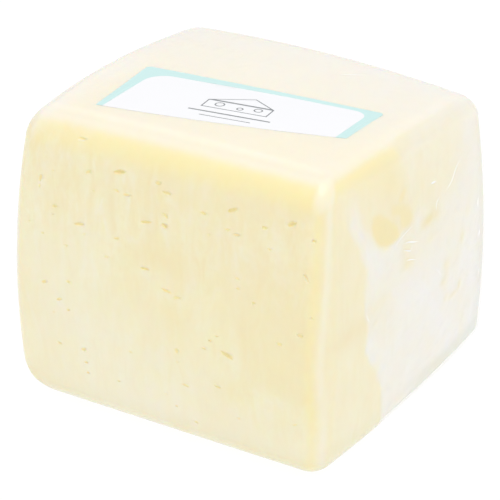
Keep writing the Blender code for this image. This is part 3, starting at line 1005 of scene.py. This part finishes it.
def crossing(line, other):
    """Where two lines in the plane cross, each given by a point and a direction."""
    (p, d), (q, e) = line, other
    return p + d * ((q - p).cross(e) / d.cross(e))


def bowed_edge(start, end, bow, shares):
    """Points between two corners, at shares of the way, moved to the front by bow at its middle."""
    return [tuple(start.lerp(end, share) - Vector((0, bow * 4 * share * (1 - share)))) for share in shares]


def label_outlines():
    """Outlines of the paper and of its white field, in mm: front left, front right, back right, back left."""
    front_left, back_left = (Vector(p) for p in LABEL_CORNERS[LOW])
    front_right, back_right = (Vector(p) for p in LABEL_CORNERS[HIGH])
    white_shares = np.linspace(*WHITE_FRONT, EDGE_STEPS + 1)
    front = bowed_edge(front_left, front_right, LABEL_BOW[LOW], (0, *white_shares, 1))
    back = bowed_edge(back_right, back_left, LABEL_BOW[HIGH], np.linspace(0, 1, EDGE_STEPS + 1))
    paper = front + rounded_corner(front_right, back_right, back[1], LABEL_ROUND) + back[2:-2]
    paper += rounded_corner(back[-2], back_left, front_left, LABEL_ROUND)
    white = front[1:-1]
    white_left, white_right = WHITE_BACK
    left_round, right_round = WHITE_ROUND
    start, end = white[0], white[-1]
    white += rounded_corner(end, white_right, white_left, right_round)
    white += rounded_corner(white_right, white_left, start, left_round)
    return paper, white


def circle(x, y, radius, steps=14):
    return [
        (x + radius * math.cos(2 * math.pi * k / steps), y + radius * math.sin(2 * math.pi * k / steps))
        for k in range(steps)
    ]


def shrunk(outline, width):
    """A closed outline moved inward by a width. It runs anticlockwise."""
    moved = []
    count = len(outline)
    for k in range(count):
        before, here, after = (Vector(outline[(k + shift) % count]) for shift in (-1, 0, 1))
        one, two = (here - before).normalized(), (after - here).normalized()
        sides = [(here + Vector((-way.y, way.x)) * width, way) for way in (one, two)]
        moved.append(tuple(crossing(*sides) if abs(one.cross(two)) > 1e-4 else sides[0][0]))
    return moved


def motif_outlines():
    """A plain wedge of cheese in line, over two rules: outlines, each with True for ink, False for paper."""
    front = [(-8.5, -2.2), (8.5, -2.2), (8.5, 2.6), (-8.5, 2.6)]
    top = [(-8.5, 2.6), (8.5, 2.6), (2.0, 7.2)]
    holes = [circle(x, y, radius) for x, y, radius in ((-4.6, 0.4, 1.3), (0.9, -0.3, 0.9), (5.2, 0.7, 1.15))]
    shapes = []
    for ring in (front, top, *holes):
        shapes += [(ring, True), (shrunk(ring, MOTIF_LINE), False)]
    for half, y, thick in ((10.5, -5.0, 0.55), (6.5, -7.4, 0.35)):
        shapes.append(([(-half, y), (half, y), (half, y + thick), (-half, y + thick)], True))
    turn = Matrix.Rotation(math.radians(MOTIF_TURN), 2) * MOTIF_SCALE
    place = Vector(MOTIF_PLACE)
    return [([tuple(turn @ Vector(p) + place) for p in outline], ink) for outline, ink in shapes]


def make_label():
    """One sheet whose printed fields are faces of their own, laid on the top and then thickened."""
    paper, white = label_outlines()
    motif = motif_outlines()
    outlines = [paper, white, *(outline for outline, _ in motif)]
    colours = [1, 0, *(2 if ink else 0 for _, ink in motif)]
    points, faces = [], []
    for outline in outlines:
        faces.append(list(range(len(points), len(points) + len(outline))))
        points += [Vector(p) for p in outline]
    low, high = np.min(paper, axis=0), np.max(paper, axis=0)
    spread = np.array([
        (x, y)
        for x in np.arange(low[0], high[0], LABEL_GRID)
        for y in np.arange(low[1], high[1], LABEL_GRID)
    ])
    inside = outline_distance(spread, paper) < -LABEL_CLEAR
    points += [Vector(p) for p in spread[inside]]
    flat, _, cells, _, _, owners = geometry.delaunay_2d_cdt(points, [], faces, 1, 1e-5)
    places = face_points(Z, HIGH, np.array(flat) * MM)
    places[:, Z] += LABEL_HEIGHT
    mesh = bpy.data.meshes.new("label_sheet")
    mesh.from_pydata(places, [], cells)
    prints = (("label_white", LABEL_WHITE), ("label_aqua", LABEL_AQUA), ("label_motif", MOTIF_GREY))
    for name, colour in prints:
        mesh.materials.append(print_material(name, colour))
    mesh.polygons.foreach_set("material_index", [colours[max(owner)] for owner in owners])
    mesh.shade_smooth()
    label = new_object("label_sheet", mesh)
    thick = label.modifiers.new("paper", "SOLIDIFY")
    thick.thickness = LABEL_THICKNESS
    thick.offset = 1
    work_in_modifiers(label)
    label.data.set_sharp_from_angle(angle=math.radians(LABEL_SHARP))
    return label


# ======== stage
def make_floor():
    square = bmesh.new()
    bmesh.ops.create_grid(square, x_segments=1, y_segments=1, size=FLOOR_SIZE / 2)
    floor = new_object("floor", finished(square, "floor"))
    floor.location.z = -FLOOR_DROP
    nodes = Nodes("pale_floor")
    nodes.set(
        Base_Color=(*FLOOR_GREY, 1),
        Roughness=0.9,
        Specular_IOR_Level=0.1,
        Emission_Color=(1, 1, 1, 1),
        Emission_Strength=FLOOR_GLOW,
    )
    floor.data.materials.append(nodes.material)


def make_light(name, place, size, power):
    """A soft square light that looks at the bar."""
    data = bpy.data.lights.new(name, "AREA")
    data.size = size
    data.energy = power
    lamp = new_object(name, data)
    lamp.location = place
    lamp.rotation_euler = (LIGHTS_AIM - Vector(place)).to_track_quat("-Z", "Y").to_euler()


def make_world():
    world = bpy.data.worlds.new("studio")
    world.use_nodes = True
    tree = world.node_tree
    direction = tree.nodes.new("ShaderNodeTexCoord")
    split = tree.nodes.new("ShaderNodeSeparateXYZ")
    rise = tree.nodes.new("ShaderNodeMapRange")
    rise.inputs["To Min"].default_value = SKY_LOW
    rise.inputs["To Max"].default_value = SKY_HIGH
    tree.links.new(direction.outputs["Generated"], split.inputs["Vector"])
    tree.links.new(split.outputs["Z"], rise.inputs["Value"])
    tree.links.new(rise.outputs["Result"], tree.nodes["Background"].inputs["Strength"])
    tree.nodes["Background"].inputs["Color"].default_value = (1, 1, 1, 1)
    bpy.context.scene.world = world
    bpy.context.scene.view_settings.view_transform = "Standard"


def make_camera():
    azimuth, elevation = math.radians(CAMERA_AZIMUTH), math.radians(CAMERA_ELEVATION)
    back = Vector((
        math.sin(azimuth) * math.cos(elevation),
        -math.cos(azimuth) * math.cos(elevation),
        math.sin(elevation),
    ))
    data = bpy.data.cameras.new("camera")
    data.lens = CAMERA_LENS
    data.sensor_width = 36
    data.clip_start = 0.01
    camera = new_object("camera", data)
    camera.location = CAMERA_TARGET + back * CAMERA_DISTANCE
    camera.rotation_euler = back.to_track_quat("Z", "Y").to_euler()
    bpy.context.scene.camera = camera


# ======== the scene
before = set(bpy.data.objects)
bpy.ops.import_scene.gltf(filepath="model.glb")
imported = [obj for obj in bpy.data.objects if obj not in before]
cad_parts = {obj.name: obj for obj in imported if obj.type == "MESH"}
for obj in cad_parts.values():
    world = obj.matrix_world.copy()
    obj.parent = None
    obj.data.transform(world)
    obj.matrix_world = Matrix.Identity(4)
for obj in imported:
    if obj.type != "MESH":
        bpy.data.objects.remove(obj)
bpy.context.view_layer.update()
ORIGIN = bar_origin("wrapped_cheese")
PASTE_MATERIAL = paste_material()
EYE_MATERIAL = eye_material()

make_camera()
make_world()
make_floor()
make_light("key", *KEY_LIGHT)
make_light("fill", *FILL_LIGHT)

cheese = make_cheese()
film = make_film()
folds = make_folds(film)
label = make_label()
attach(cheese, "root")
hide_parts("wrapped_cheese")
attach(film, "root")
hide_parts("wrapped_cheese")
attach(folds, "root")
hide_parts("wrapped_cheese")
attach(label, "root")
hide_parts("label")
